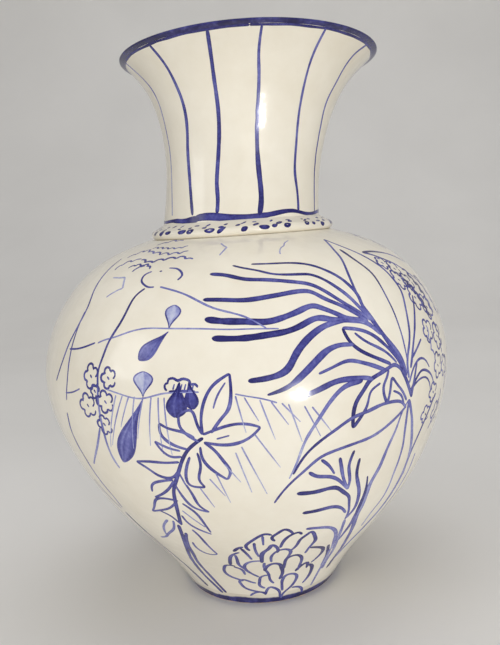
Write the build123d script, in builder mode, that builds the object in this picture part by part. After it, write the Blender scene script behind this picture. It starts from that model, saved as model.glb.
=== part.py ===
"""Hand-built talavera vase: foot ring, two thrown bowls, collar, leaning neck and rolled lip.

Millimetres, +Z up. The origin is the centre of the foot ring's resting circle.
Every outline is drawn in (radius, height) on the XZ plane.
"""

from build123d import *

import os

# Body: outer outline of the whole wall, at the places that give it its shape
BODY_OUTLINE = [
    (58.0, 0.0),  # resting edge
    (76.0, 28.0),  # end of the flared foot
    (112.0, 72.0),
    (143.0, 128.0),
    (153.0, 176.0),  # widest part of the belly
    (139.0, 224.0),
    (112.0, 254.0),  # brow of the shoulder
    (70.0, 272.0),  # land under the collar
]
BODY_WALL = 7.0


def moved_in(outline, wall):
    """The middle points of an outline, moved square to it towards the inside."""
    points = []
    for before, here, after in zip(outline, outline[1:], outline[2:]):
        run, rise = after[0] - before[0], after[1] - before[1]
        length = (run**2 + rise**2) ** 0.5
        points.append((here[0] - wall * rise / length, here[1] + wall * run / length))
    return points


BODY_INSIDE = [(47.0, 12.0), *moved_in(BODY_OUTLINE, BODY_WALL), (62.0, 265.0)]
FLOOR_UNDERSIDE = 5.0
FLOOR_TOP = BODY_INSIDE[0][1]

# Foot ring: a rebate round its inner edge holds the turned base of the lower bowl
FOOT_INNER_RADIUS = 49.0
FOOT_REBATE_RADIUS = 54.5
FOOT_TOP = 10.0
FOOT_EDGE_ROUND = 1.5
CLEAR = 1.0  # how far a seam's zone reaches past the section

# Belly seam: the upper bowl's skirt drops inside the lower bowl's rim
SEAM_HEIGHT = 172.0
SEAM_LAP = 5.0
SEAM_MIDDLE_RADIUS = 149.7

# Collar and the throat below it
THROAT_RADIUS = 54.0
SHOULDER_LAND = BODY_OUTLINE[-1][1]
LAND_INNER_RADIUS = 50.0  # before the throat is trimmed to the collar's bore
COLLAR_CENTRE_X = 2.0
COLLAR_RADIUS = 69.0
COLLAR_BEAD_RADIUS = 3.4
COLLAR_TOP = 283.0
NECK_SEAT = 276.0
KEY_RADIUS = 62.0
KEY_WIDTH = 3.0
KEY_DEPTH = 1.6

# Neck: (height, radius) of its circles outside, and its wall, which is cut longer as it flares
NECK_BASE_RADIUS = 59.5
NECK_OUTSIDE = [
    (COLLAR_TOP, NECK_BASE_RADIUS),
    (310.0, 58.0),  # waist
    (340.0, 60.5),
    (366.0, 68.0),
    (384.0, 78.0),
    (398.0, 91.5),  # mouth
]
NECK_WALL = NECK_BASE_RADIUS - THROAT_RADIUS
MOUTH_WALL_EXTRA = 1.5
LIP_SEAT = NECK_OUTSIDE[-1][0]
NECK_INSIDE = [
    (height, radius - NECK_WALL - MOUTH_WALL_EXTRA * (height - COLLAR_TOP) / (LIP_SEAT - COLLAR_TOP))
    for height, radius in NECK_OUTSIDE
]
# The neck was joined slightly crooked: how far its mouth has moved, and how its mouth tilts
NECK_LEAN_X = 12.4
NECK_BEND_X = 0.8
MOUTH_RISE_X = -0.0235
MOUTH_RISE_Y = -0.054

# Lip: section in (radius, height above the lip seat)
LIP_OUTER_RADIUS = NECK_OUTSIDE[-1][1]
LIP_INNER_RADIUS = NECK_INSIDE[-1][1]
LIP_OVERHANG = 3.5
LIP_THICKNESS = 3.2
LIP_SECTION = [
    (LIP_OUTER_RADIUS, 0.0),
    (LIP_OUTER_RADIUS + LIP_OVERHANG, 0.6 * LIP_THICKNESS),
    (LIP_OUTER_RADIUS, LIP_THICKNESS),
    (LIP_INNER_RADIUS + LIP_OVERHANG, 0.75 * LIP_THICKNESS),
    (LIP_INNER_RADIUS, 0.0),
]
LIP_KEY_RADIUS = 88.0
LIP_KEY_WIDTH = 2.4
LIP_KEY_DEPTH = 1.4

# Coils of clay pressed over the joints on the inside: half width and half height
BELLY_COIL = (3.4, 9.0)
BELLY_COIL_RADIUS = 146.0
NECK_COIL = (2.6, 6.2)
NECK_COIL_HEIGHT = 276.5

REACH = 200.0  # past everything, for the seam zones


def neck_plane(height):
    """Plane of one circle of the neck, moved and tilted more and more towards the mouth."""
    rise = (height - COLLAR_TOP) / (LIP_SEAT - COLLAR_TOP)
    centre_x = COLLAR_CENTRE_X + NECK_LEAN_X * rise + NECK_BEND_X * rise**2
    tilt_x = MOUTH_RISE_X * rise
    tilt_y = MOUTH_RISE_Y * rise
    return Plane(
        origin=(centre_x, 0, height),
        x_dir=(1, 0, tilt_x),
        z_dir=(-tilt_x, -tilt_y, 1),
    )


LIP_PLANE = neck_plane(LIP_SEAT)

# The seams, each a line shared by the two pieces that meet there
FOOT_SEAM = [
    (FOOT_INNER_RADIUS - CLEAR, FLOOR_UNDERSIDE),
    (FOOT_REBATE_RADIUS, FLOOR_UNDERSIDE),
    (FOOT_REBATE_RADIUS, FOOT_TOP),
    (REACH, FOOT_TOP),
]
BELLY_SEAM = [
    (0, SEAM_HEIGHT - SEAM_LAP),
    (SEAM_MIDDLE_RADIUS, SEAM_HEIGHT - SEAM_LAP),
    (SEAM_MIDDLE_RADIUS, SEAM_HEIGHT),
    (REACH, SEAM_HEIGHT),
]

# Half section of the whole body wall with its floor and foot, before it is parted at the seams
with BuildSketch() as body_section:
    with BuildLine():
        Polyline((FOOT_INNER_RADIUS, 0), BODY_OUTLINE[0])
        Spline(BODY_OUTLINE)
        Polyline(
            BODY_OUTLINE[-1],
            (LAND_INNER_RADIUS, SHOULDER_LAND),
            (LAND_INNER_RADIUS, BODY_INSIDE[-1][1]),
            BODY_INSIDE[-1],
        )
        Spline(BODY_INSIDE[::-1])
        Polyline(
            BODY_INSIDE[0],
            (0, FLOOR_TOP),
            (0, FLOOR_UNDERSIDE),
            (FOOT_INNER_RADIUS, FLOOR_UNDERSIDE),
            (FOOT_INNER_RADIUS, 0),
        )
    make_face()

# Foot ring: carries the vase, with the lower bowl's base let into its rebate
with BuildPart() as foot_ring:
    with BuildSketch(Plane.XZ):
        add(body_section.sketch)
        with BuildLine():
            Polyline(*FOOT_SEAM, (REACH, -CLEAR), (FOOT_INNER_RADIUS - CLEAR, -CLEAR), close=True)
        make_face(mode=Mode.INTERSECT)
    revolve(axis=Axis.Z)
    resting_face = foot_ring.faces().sort_by(Axis.Z)[0]
    fillet(resting_face.edges(), radius=FOOT_EDGE_ROUND)

# Lower bowl: floor and wall up to the belly
with BuildPart() as lower_body:
    with BuildSketch(Plane.XZ):
        add(body_section.sketch)
        with BuildLine():
            Polyline((0, FLOOR_UNDERSIDE), *FOOT_SEAM, *BELLY_SEAM[::-1], close=True)
        make_face(mode=Mode.INTERSECT)
    revolve(axis=Axis.Z)

# Upper bowl, turned over: wall from the belly to the land under the collar
with BuildPart() as shoulder:
    with BuildSketch(Plane.XZ):
        add(body_section.sketch)
        with BuildLine():
            Polyline(*BELLY_SEAM, (REACH, SHOULDER_LAND), (0, SHOULDER_LAND), close=True)
        make_face(mode=Mode.INTERSECT)
    revolve(axis=Axis.Z)
    with BuildSketch(Plane.XY.offset(SHOULDER_LAND)):
        with Locations((COLLAR_CENTRE_X, 0)):
            Circle(THROAT_RADIUS)
    extrude(amount=BODY_INSIDE[-1][1] - SHOULDER_LAND, mode=Mode.SUBTRACT)
    with BuildSketch(Plane.XY.offset(SHOULDER_LAND)):
        with Locations((COLLAR_CENTRE_X, 0)):
            Circle(KEY_RADIUS + KEY_WIDTH / 2)
            Circle(KEY_RADIUS - KEY_WIDTH / 2, mode=Mode.SUBTRACT)
    extrude(amount=-KEY_DEPTH, mode=Mode.SUBTRACT)

# Collar: a flat ring with a beaded edge, keyed into the shoulder and socketed for the neck
with BuildPart() as collar_ring:
    with BuildSketch(Plane.XZ):
        with BuildLine():
            bead_z = SHOULDER_LAND + COLLAR_BEAD_RADIUS
            bead_r = COLLAR_RADIUS - COLLAR_BEAD_RADIUS
            bead_bottom = (bead_r, SHOULDER_LAND)
            bead_top = (bead_r, bead_z + COLLAR_BEAD_RADIUS)
            ThreePointArc(bead_bottom, (COLLAR_RADIUS, bead_z), bead_top)
            Polyline(
                bead_top,
                (NECK_BASE_RADIUS, COLLAR_TOP),
                (NECK_BASE_RADIUS, NECK_SEAT),
                (THROAT_RADIUS, NECK_SEAT),
                (THROAT_RADIUS, SHOULDER_LAND),
                (KEY_RADIUS - KEY_WIDTH / 2, SHOULDER_LAND),
                (KEY_RADIUS - KEY_WIDTH / 2, SHOULDER_LAND - KEY_DEPTH),
                (KEY_RADIUS + KEY_WIDTH / 2, SHOULDER_LAND - KEY_DEPTH),
                (KEY_RADIUS + KEY_WIDTH / 2, SHOULDER_LAND),
                bead_bottom,
            )
        make_face()
    revolve(axis=Axis.Z)
collar_ring.part.position = (COLLAR_CENTRE_X, 0, 0)

# Neck: a thrown trumpet with a straight base that stands in the collar
with BuildPart() as neck:
    for height, radius in NECK_OUTSIDE:
        with BuildSketch(neck_plane(height)):
            Circle(radius)
    loft()
    with BuildSketch(neck_plane(COLLAR_TOP)):
        Circle(NECK_BASE_RADIUS)
    extrude(amount=NECK_SEAT - COLLAR_TOP)
    for height, radius in NECK_INSIDE:
        with BuildSketch(neck_plane(height)):
            Circle(radius)
    loft(mode=Mode.SUBTRACT)
    with BuildSketch(neck_plane(COLLAR_TOP)):
        Circle(THROAT_RADIUS)
    extrude(amount=NECK_SEAT - COLLAR_TOP, mode=Mode.SUBTRACT)
    with BuildSketch(LIP_PLANE):
        Circle(LIP_KEY_RADIUS + LIP_KEY_WIDTH / 2)
        Circle(LIP_KEY_RADIUS - LIP_KEY_WIDTH / 2, mode=Mode.SUBTRACT)
    extrude(amount=-LIP_KEY_DEPTH, mode=Mode.SUBTRACT)

# Lip: a rolled coil on the mouth, keyed into the neck's top edge
lip_section_plane = Plane(LIP_PLANE.origin, x_dir=LIP_PLANE.x_dir, z_dir=-LIP_PLANE.y_dir)
with BuildPart() as lip_roll:
    with BuildSketch(lip_section_plane):
        with BuildLine():
            Spline(LIP_SECTION)
            Line(LIP_SECTION[-1], LIP_SECTION[0])
        make_face()
        with Locations((LIP_KEY_RADIUS, -LIP_KEY_DEPTH / 2)):
            Rectangle(LIP_KEY_WIDTH, LIP_KEY_DEPTH)
    revolve(axis=Axis(LIP_PLANE.origin, LIP_PLANE.z_dir))

# Coil of clay over the belly seam, on the inside
with BuildPart() as belly_seam_coil:
    with BuildSketch(Plane.XZ):
        with Locations((BELLY_COIL_RADIUS, SEAM_HEIGHT - SEAM_LAP)):
            Ellipse(*BELLY_COIL)
        add(body_section.sketch, mode=Mode.SUBTRACT)
    revolve(axis=Axis.Z)

# Coil of clay over the neck joint, on the inside
with BuildPart() as neck_seam_coil:
    with BuildSketch(Plane.XZ):
        with Locations((THROAT_RADIUS, NECK_COIL_HEIGHT)):
            Ellipse(*NECK_COIL)
            Rectangle(
                2 * NECK_COIL[0],
                2 * NECK_COIL[1],
                align=(Align.MIN, Align.CENTER),
                mode=Mode.SUBTRACT,
            )
    revolve(axis=Axis.Z)
neck_seam_coil.part.position = (COLLAR_CENTRE_X, 0, 0)

pieces = {
    "foot_ring": foot_ring,
    "lower_body": lower_body,
    "shoulder": shoulder,
    "collar_ring": collar_ring,
    "neck": neck,
    "lip_roll": lip_roll,
    "belly_seam_coil": belly_seam_coil,
    "neck_seam_coil": neck_seam_coil,
}

os.makedirs("parts", exist_ok=True)
for name, piece in pieces.items():
    piece.part.label = name
    export_step(piece.part, f"parts/{name}.step")
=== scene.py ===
"""Hand-painted tin-glazed vase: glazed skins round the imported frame, and brushwork laid on them.

Sizes are millimetres until a point is placed, then metres, and the stage is in metres. A place on the
vase is an azimuth in degrees, 0 at the front and growing towards +X, and a distance up the wall or a
height.
"""

import math

import bpy
import numpy as np
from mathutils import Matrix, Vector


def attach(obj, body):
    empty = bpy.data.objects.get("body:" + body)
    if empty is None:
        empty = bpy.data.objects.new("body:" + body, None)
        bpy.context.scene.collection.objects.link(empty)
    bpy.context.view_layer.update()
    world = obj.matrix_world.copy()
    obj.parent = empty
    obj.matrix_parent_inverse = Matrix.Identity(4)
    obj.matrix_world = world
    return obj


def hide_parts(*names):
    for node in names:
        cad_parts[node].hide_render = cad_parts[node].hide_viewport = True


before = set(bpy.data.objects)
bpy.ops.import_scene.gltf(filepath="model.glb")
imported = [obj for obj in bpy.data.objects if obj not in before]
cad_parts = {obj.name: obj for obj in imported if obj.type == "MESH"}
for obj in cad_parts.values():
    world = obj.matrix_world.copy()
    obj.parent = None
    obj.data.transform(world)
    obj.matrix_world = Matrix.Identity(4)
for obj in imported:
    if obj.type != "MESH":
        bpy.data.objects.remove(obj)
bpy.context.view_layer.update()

MM = 0.001
SEGMENTS = 320
ROW_STEP = 2.5

# The wall of the body: (radius, height) at the places that give it its shape
BODY_OUTLINE = [(58, 0), (76, 28), (112, 72), (143, 128), (153, 176), (139, 224), (112, 254), (70, 272)]
BODY_WALL = 7


def moved_in(outline, wall):
    """The middle points of an outline, moved square to it towards the inside."""
    points = []
    for before, here, after in zip(outline, outline[1:], outline[2:]):
        across, up = after[0] - before[0], after[1] - before[1]
        length = math.hypot(across, up)
        points.append((here[0] - wall * up / length, here[1] + wall * across / length))
    return points


FLOOR_UNDERSIDE, FLOOR_TOP, FLOOR_RADIUS = 5, 12, 47
LAND, LAND_UNDERSIDE, LAND_EDGE, THROAT = 272, 265, 62, 54
BODY_INSIDE = [(FLOOR_RADIUS, FLOOR_TOP), *moved_in(BODY_OUTLINE, BODY_WALL), (LAND_EDGE, LAND_UNDERSIDE)]
FOOT_INNER, FOOT_REBATE, FOOT_TOP, FOOT_ROUND = 49, 54.5, 10, 1.5
REBATE_TOP, REBATE_BOTTOM = (FOOT_REBATE, FOOT_TOP), (FOOT_REBATE, FLOOR_UNDERSIDE)
SEAM_HEIGHT, SEAM_LAP, SEAM_RADIUS = 172, 5, 149.7
SEAM_TOP, SEAM_FOOT = (SEAM_RADIUS, SEAM_HEIGHT), (SEAM_RADIUS, SEAM_HEIGHT - SEAM_LAP)
COLLAR_X, COLLAR_RADIUS, BEAD_RADIUS, COLLAR_TOP, NECK_SEAT = 2, 69, 3.4, 283, 276
# The neck: (height, radius) outside, its wall, and how it leans and tilts towards the mouth
NECK_BASE = 59.5
NECK_OUTSIDE = [(COLLAR_TOP, NECK_BASE), (310, 58), (340, 60.5), (366, 68), (384, 78), (398, 91.5)]
NECK_WALL, MOUTH_WALL_EXTRA = NECK_BASE - THROAT, 1.5
MOUTH, MOUTH_RADIUS = NECK_OUTSIDE[-1]
NECK_INSIDE = [
    (height, radius - NECK_WALL - MOUTH_WALL_EXTRA * (height - COLLAR_TOP) / (MOUTH - COLLAR_TOP))
    for height, radius in NECK_OUTSIDE
]
BORE_RADIUS = NECK_INSIDE[-1][1]
LEAN_X, BEND_X, RISE_X, RISE_Y = 12.4, 0.8, -0.0235, -0.054
# The lip: (radius, height above the mouth)
LIP_OVERHANG, LIP_THICKNESS = 3.5, 3.2
LIP_SECTION = [
    (MOUTH_RADIUS, 0),
    (MOUTH_RADIUS + LIP_OVERHANG, 0.6 * LIP_THICKNESS),
    (MOUTH_RADIUS, LIP_THICKNESS),
    (BORE_RADIUS + LIP_OVERHANG, 0.75 * LIP_THICKNESS),
    (BORE_RADIUS, 0),
]
# The coils: radius and height of the middle, half width and half height
BELLY_COIL = (146, 167, 3.4, 9)
NECK_COIL = (THROAT, 276.5, 2.6, 6.2)


# ---------------------------------------------------------------------------------------- curves

class Curve:
    """Natural cubic spline through points, by distance along its chords."""

    def __init__(self, points, knots=None):
        self.points = np.array(points, float)
        if knots is None:
            steps = np.linalg.norm(np.diff(self.points, axis=0), axis=1)
            knots = np.concatenate([[0], np.cumsum(steps)])
        self.knots = np.array(knots, float)
        self.length = self.knots[-1]
        gaps = np.diff(self.knots)
        count = len(self.knots)
        rows = np.eye(count)
        slopes = np.zeros_like(self.points)
        turn = np.diff(self.points, axis=0) / gaps[:, None]
        for i in range(1, count - 1):
            rows[i, i - 1 : i + 2] = gaps[i - 1], 2 * (gaps[i - 1] + gaps[i]), gaps[i]
            slopes[i] = 6 * (turn[i] - turn[i - 1])
        self.bend = np.linalg.solve(rows, slopes)

    def __call__(self, at):
        at = np.asarray(at, float)
        i = np.clip(np.searchsorted(self.knots, at, side="right") - 1, 0, len(self.knots) - 2)
        gap = self.knots[i + 1] - self.knots[i]
        a = ((self.knots[i + 1] - at) / gap)[..., None]
        b = 1 - a
        curved = (a**3 - a) * self.bend[i] + (b**3 - b) * self.bend[i + 1]
        return a * self.points[i] + b * self.points[i + 1] + curved * (gap**2)[..., None] / 6


def height_along(curve, height):
    """How far along a rising section curve it reaches a height."""
    fine = np.linspace(0, curve.length, 2000)
    heights = curve(fine)[:, 1]
    order = np.argsort(heights)
    return float(np.interp(height, heights[order], fine[order]))


def run(curve, start, end, step=ROW_STEP):
    """Evenly spaced points of a curve between two distances along it."""
    count = max(2, math.ceil(abs(end - start) / step) + 1)
    return curve(np.linspace(start, end, count))


def straight(start, end, step=6):
    count = max(2, math.ceil(math.dist(start, end) / step) + 1)
    return np.linspace(start, end, count)


def straights(*corners):
    """A straight strip from each corner to the next."""
    return [straight(start, end) for start, end in zip(corners, corners[1:])]


def arc(centre, radii, start, end, count=10):
    """Points of an ellipse's arc, angles in degrees."""
    angles = np.radians(np.linspace(start, end, count))
    return np.stack(
        [centre[0] + radii[0] * np.cos(angles), centre[1] + radii[1] * np.sin(angles)], -1
    )


BODY = Curve(BODY_OUTLINE)
INSIDE = Curve(BODY_INSIDE)
NECK = Curve([(radius, height) for height, radius in NECK_OUTSIDE])
NECK_BORE = Curve([(radius, height) for height, radius in NECK_INSIDE])
COLLAR_SECTION = Curve(
    np.concatenate([
        arc((COLLAR_RADIUS - BEAD_RADIUS, LAND + BEAD_RADIUS), (BEAD_RADIUS, BEAD_RADIUS), -80, 70, 8),
        [(63.4, 280.4), (61.2, 281.8), (NECK_BASE, COLLAR_TOP)],
    ])
)


# ---------------------------------------------------------------------------------------- places

def turned(az, radius, height, centre_x=0.0):
    angle = np.radians(az)
    x = centre_x + radius * np.sin(angle)
    return np.stack(np.broadcast_arrays(x, -radius * np.cos(angle), height), -1) * MM


def body_place(az, radius, height):
    """A place on the body, with the sway and the shallow waves that hands leave in the clay."""
    angle = np.radians(az)
    free = np.clip(height / 20, 0, 1) * np.clip((268 - height) / 20, 0, 1) * radius / 150
    waves = (
        0.28 * np.sin(2 * angle + 0.7 + height / 70)
        + 0.16 * np.sin(3 * angle - 1.1 - height / 38)
        + 0.07 * np.sin(5 * angle + height / 21)
        + 0.035 * np.sin(height / 2.3 + 2 * np.sin(angle))
    )
    sway = 1.2 * np.sin(np.pi * np.clip(height, 0, 240) / 120)
    return turned(az, radius + free * waves, height, sway)


def throat_place(az, radius, height):
    """As body_place, but moving over to the collar's centre towards the throat."""
    shift = COLLAR_X * np.clip((LAND_EDGE - radius) / (LAND_EDGE - THROAT), 0, 1) * MM
    return body_place(az, radius, height) + np.stack(
        np.broadcast_arrays(shift, 0 * shift, 0 * shift), -1
    )


def collar_place(az, radius, height):
    """The collar was pinched round by hand, so its bead wanders a little."""
    angle = np.radians(az)
    out = np.clip((radius - 60) / 9, 0, 1) * np.clip((height - LAND) / 3, 0, 1)
    radius = radius + out * (0.35 * np.sin(5 * angle + 1) + 0.25 * np.sin(11 * angle))
    height = height + out * (0.3 * np.sin(4 * angle) + 0.22 * np.sin(9 * angle + 2))
    return turned(az, radius, height, COLLAR_X)


def neck_place(az, radius, height):
    """A place on the neck, which leans towards +X and tilts towards the front at its mouth."""
    angle = np.radians(az)
    rise = np.clip((height - COLLAR_TOP) / (MOUTH - COLLAR_TOP), 0, 1)
    free = np.sin(np.pi * rise)
    radius = radius + free * (
        0.22 * np.sin(2 * angle + 0.4 + height / 30)
        + 0.12 * np.sin(3 * angle + 2 - height / 19)
        + 0.03 * np.sin(height / 2.1)
    )
    x, y = radius * np.sin(angle), -radius * np.cos(angle)
    lip_wave = rise**4 * (0.5 * np.sin(2 * angle - 0.5) + 0.3 * np.sin(3 * angle + 1.2))
    height = height + rise * (RISE_X * x + RISE_Y * y) + lip_wave
    x = x + COLLAR_X + LEAN_X * rise + BEND_X * rise**2
    return np.stack(np.broadcast_arrays(x, y, height), -1) * MM


def on_body(az, along):
    radius, height = np.moveaxis(BODY(along), -1, 0)
    return body_place(az, radius, height)


def on_neck(az, height):
    along = np.interp(height, NECK(NECK_STEPS)[:, 1], NECK_STEPS)
    return neck_place(az, NECK(along)[..., 0], height)


def on_collar(az, along):
    radius, height = np.moveaxis(COLLAR_SECTION(along), -1, 0)
    return collar_place(az, radius, height)


NECK_STEPS = np.linspace(0, NECK.length, 400)


# ------------------------------------------------------------------------------------ mesh makers

def mesh_object(name, vertices, faces, material, corner_normals):
    """A smooth shaded object. Corner normals of zero leave Blender's own."""
    mesh = bpy.data.meshes.new(name)
    mesh.from_pydata(vertices, [], faces)
    mesh.polygons.foreach_set("use_smooth", np.ones(len(faces), bool))
    mesh.materials.append(material)
    mesh.normals_split_custom_set(corner_normals)
    made = bpy.data.objects.new(name, mesh)
    bpy.context.collection.objects.link(made)
    return made


def unit(vectors):
    return vectors / np.maximum(np.linalg.norm(vectors, axis=-1, keepdims=True), 1e-12)


def lathe(name, strips, place, material, segments=SEGMENTS):
    """A closed turned shape. Each strip is a smooth run of (radius, height) points that starts where
    the last one ended; the edge between two strips stays sharp. The section goes up the outside."""
    az = np.arange(segments) * 360 / segments
    closed = np.allclose(strips[0][0], strips[-1][-1])
    profile = np.concatenate([strip[:-1] for strip in strips] + ([] if closed else [strips[-1][-1:]]))
    at_axis = profile[:, 0] < 1e-6
    vertices = place(az[None, :], profile[:, :1], profile[:, 1:]).reshape(-1, 3)
    faces, normals = [], []
    row = 0
    for strip in strips:
        tangents = np.gradient(strip, axis=0)
        radius = np.maximum(strip[:, :1], 0.05)
        nudge = 0.01 * unit(tangents)
        along = place(az[None, :], radius + nudge[:, :1], strip[:, 1:] + nudge[:, 1:]) - place(
            az[None, :], radius - nudge[:, :1], strip[:, 1:] - nudge[:, 1:]
        )
        across = place(az[None, :] + 0.05, radius, strip[:, 1:]) - place(
            az[None, :] - 0.05, radius, strip[:, 1:]
        )
        normal = unit(np.cross(across, along))
        for step in range(len(strip) - 1):
            lower, upper = row + step, (row + step + 1) % len(profile)
            for k in range(segments):
                k2 = (k + 1) % segments
                corners = [(lower, step, k), (lower, step, k2), (upper, step + 1, k2), (upper, step + 1, k)]
                if at_axis[lower]:
                    corners.pop(1)
                elif at_axis[upper]:
                    corners.pop(2)
                faces.append([r * segments + (0 if at_axis[r] else c) for r, _, c in corners])
                normals.extend(normal[s, c] for _, s, c in corners)
        row += len(strip) - 1
    used = np.zeros(len(vertices), bool)
    used[np.concatenate([np.array(face) for face in faces])] = True
    renumber = np.cumsum(used) - 1
    faces = [[int(renumber[v]) for v in face] for face in faces]
    return mesh_object(name, vertices[used].tolist(), faces, material, normals)


# Tones of a stroke from start to end, 1 being darkest
TIP = (1.0, 0.85, 0.7, 0.5)
EVEN = (0.72, 0.66)
PALE = (0.42, 0.36)
FAINT = (0.28, 0.22)


def path(text):
    """Points written as "azimuth,distance azimuth,distance ..."."""
    return np.array([[float(number) for number in pair.split(",")] for pair in text.split()])


class Brush:
    """Collects the strokes of one painted piece and makes them one mesh.

    A stroke is a closed ribbon of pigment a few hundredths of a millimetre proud of the glaze. It has a
    rounded section and rounded ends, and carries how much pigment it holds in an attribute."""

    PROUD = 0.06
    DEPTH = 0.2
    STEP = 1.3
    TAPER = 0.9  # how many widths long a stroke's rounded end is
    SECTION = np.array([-1, -0.8, -0.35, 0.35, 0.8, 1.0])
    RELIEF = np.array([0.3, 0.85, 1, 1, 0.85, 0.3])
    POOLING = np.array([0.16, 0.06, -0.05, -0.05, 0.06, 0.16])

    def __init__(self, name, surface, seed):
        self.name, self.surface = name, surface
        self.random = np.random.default_rng(seed)
        self.turn, self.mirror = 0.0, False
        self.vertices, self.faces, self.normals, self.pigment = [], [], [], []
        self.count = 0

    def placed(self, points):
        """Points of a motif, turned to another side of the vase."""
        points = np.array(points, float)
        points[..., 0] = self.turn + (-points[..., 0] if self.mirror else points[..., 0])
        return points

    def mm_per_degree(self, az, along):
        step = self.surface(az + 0.5, along) - self.surface(az - 0.5, along)
        return np.maximum(np.linalg.norm(step, axis=-1) / MM, 0.2)

    def wander(self, length, spacing):
        """A smooth random line along a stroke, about -1 to 1."""
        knots = np.arange(0, length + 2 * spacing, spacing)
        values = self.random.uniform(-1, 1, len(knots))
        return lambda at: np.interp(at, knots, values)

    def stroke(self, points, widths, tones=EVEN):
        points = self.placed(path(points) if isinstance(points, str) else points)
        scale = self.mm_per_degree(points[:, 0], points[:, 1])
        spans = np.diff(points, axis=0)
        steps = np.hypot(spans[:, 0] * (scale[1:] + scale[:-1]) / 2, spans[:, 1])
        curve = Curve(points, np.concatenate([[0], np.cumsum(np.maximum(steps, 0.1))]))
        length = curve.length
        widths, tones = np.atleast_1d(widths), np.atleast_1d(tones)
        rounding = np.array([0, 0.06, 0.2, 0.45, self.TAPER])
        ends = rounding * min(widths[0], length / 2)
        other_ends = length - rounding * min(widths[-1], length / 2)
        inner = np.linspace(ends[-1], other_ends[-1], max(3, math.ceil(length / self.STEP)))
        at = np.unique(np.round(np.concatenate([ends, inner, other_ends]), 4))
        centre = curve(at)
        width = np.interp(at / length, np.linspace(0, 1, len(widths)), widths)
        width = width * (1 + 0.11 * self.wander(length, 5)(at))
        reach = np.minimum(at / widths[0], (length - at) / widths[-1]) / self.TAPER
        reach = reach.clip(0.02, 1)
        width = width * np.sqrt(1 - (1 - reach) ** 2)
        ahead = curve(at + 0.05) - curve(at - 0.05)
        local = self.mm_per_degree(centre[:, 0], centre[:, 1])
        heading = unit(np.stack([ahead[:, 0] * local, ahead[:, 1]], -1))
        offsets = self.SECTION[None, :] * width[:, None] / 2
        grid_az = centre[:, :1] + offsets * heading[:, 1:] / local[:, None]
        grid_along = centre[:, 1:] - offsets * heading[:, :1]
        tone = np.interp(at / length, np.linspace(0, 1, len(tones)), tones)
        tone = tone + 0.13 * self.wander(length, 9)(at) + 0.14 * (1 - reach)
        self.sheet(grid_az, grid_along, self.RELIEF, tone[:, None] + self.POOLING[None, :])

    def wash(self, left, right, tones=(0.8, 0.8), columns=9):
        """Pigment filling the shape between two edges that share their ends."""
        edges = []
        share = np.linspace(0.015, 0.985, 28)
        for edge in (left, right):
            curve = Curve(self.placed(edge))
            edges.append(curve(share * curve.length))
        across = np.linspace(0, 1, columns)
        grid = edges[0][:, None] * (1 - across[None, :, None]) + edges[1][:, None] * across[None, :, None]
        middle = len(share) // 2
        ahead = grid[middle + 1, columns // 2] - grid[middle - 1, columns // 2]
        rightward = grid[middle, -1] - grid[middle, 0]
        if rightward[0] * ahead[1] - rightward[1] * ahead[0] < 0:
            grid = grid[:, ::-1]
        tone = np.interp(share, np.linspace(0, 1, len(tones)), tones)[:, None]
        streaks = self.random.uniform(-0.14, 0.14, columns)[None, :]
        relief = 1 - 0.7 * np.abs(2 * across - 1) ** 6
        rim = 0.15 * np.abs(2 * across - 1)[None, :] ** 4
        self.sheet(grid[..., 0], grid[..., 1], relief, tone + streaks + rim)

    def sheet(self, az, along, relief, pigment):
        """Closes a grid of places, rows by columns, into a thin solid on the surface."""
        top = self.surface(az, along)
        across = self.surface(az + 0.02, along) - self.surface(az - 0.02, along)
        upward = self.surface(az, along + 0.02) - self.surface(az, along - 0.02)
        normal = unit(np.cross(across, upward))
        proud = self.PROUD * (1 + 0.25 * self.random.uniform(-1, 1)) * relief[None, :, None] * MM
        under = top[:, [-1, 0]] - normal[:, [-1, 0]] * self.DEPTH * MM
        rings = np.concatenate([top + normal * proud, under], axis=1)
        rows, size = rings.shape[:2]
        flat = rings.reshape(-1, 3)
        index = np.arange(rows * size).reshape(rows, size)
        columns = top.shape[1]
        for edge in range(size):
            after = (edge + 1) % size
            quads = np.stack(
                [index[:-1, edge], index[:-1, after], index[1:, after], index[1:, edge]], -1
            )
            self.faces.extend((quads + self.count).tolist())
            if edge < columns - 1:
                corners = np.stack(
                    [normal[:-1, edge], normal[:-1, after], normal[1:, after], normal[1:, edge]], 1
                )
            else:
                a, b, c, d = (flat[quads[:, i]] for i in range(4))
                corners = np.repeat(unit(np.cross(c - a, d - b))[:, None], 4, axis=1)
            self.normals.extend(corners.reshape(-1, 3))
        for cap in (index[0][::-1], index[-1]):
            self.faces.append((cap + self.count).tolist())
            facing = unit(np.cross(flat[cap[size // 2]] - flat[cap[0]], flat[cap[-1]] - flat[cap[1]]))
            self.normals.extend([facing] * size)
        self.vertices.append(flat)
        amount = np.broadcast_to(pigment, top.shape[:2])
        self.pigment.append(np.concatenate([amount, amount[:, [-1, 0]]], axis=1).ravel())
        self.count += len(flat)

    def strokes(self, rows):
        for row in rows:
            self.stroke(*row)

    def finish(self, material):
        vertices = np.concatenate(self.vertices).tolist()
        made = mesh_object(self.name, vertices, self.faces, material, self.normals)
        amounts = made.data.attributes.new("pigment", "FLOAT", "POINT")
        amounts.data.foreach_set("value", np.concatenate(self.pigment).astype(np.float32))
        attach(made, "root")
        return made


# -------------------------------------------------------------------------------------- materials

def colour(red, green, blue):
    """Linear colour with alpha, from 0 to 255 screen values."""
    levels = [level / 255 for level in (red, green, blue)]
    linear = [level / 12.92 if level < 0.04045 else ((level + 0.055) / 1.055) ** 2.4 for level in levels]
    return (*linear, 1.0)


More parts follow.
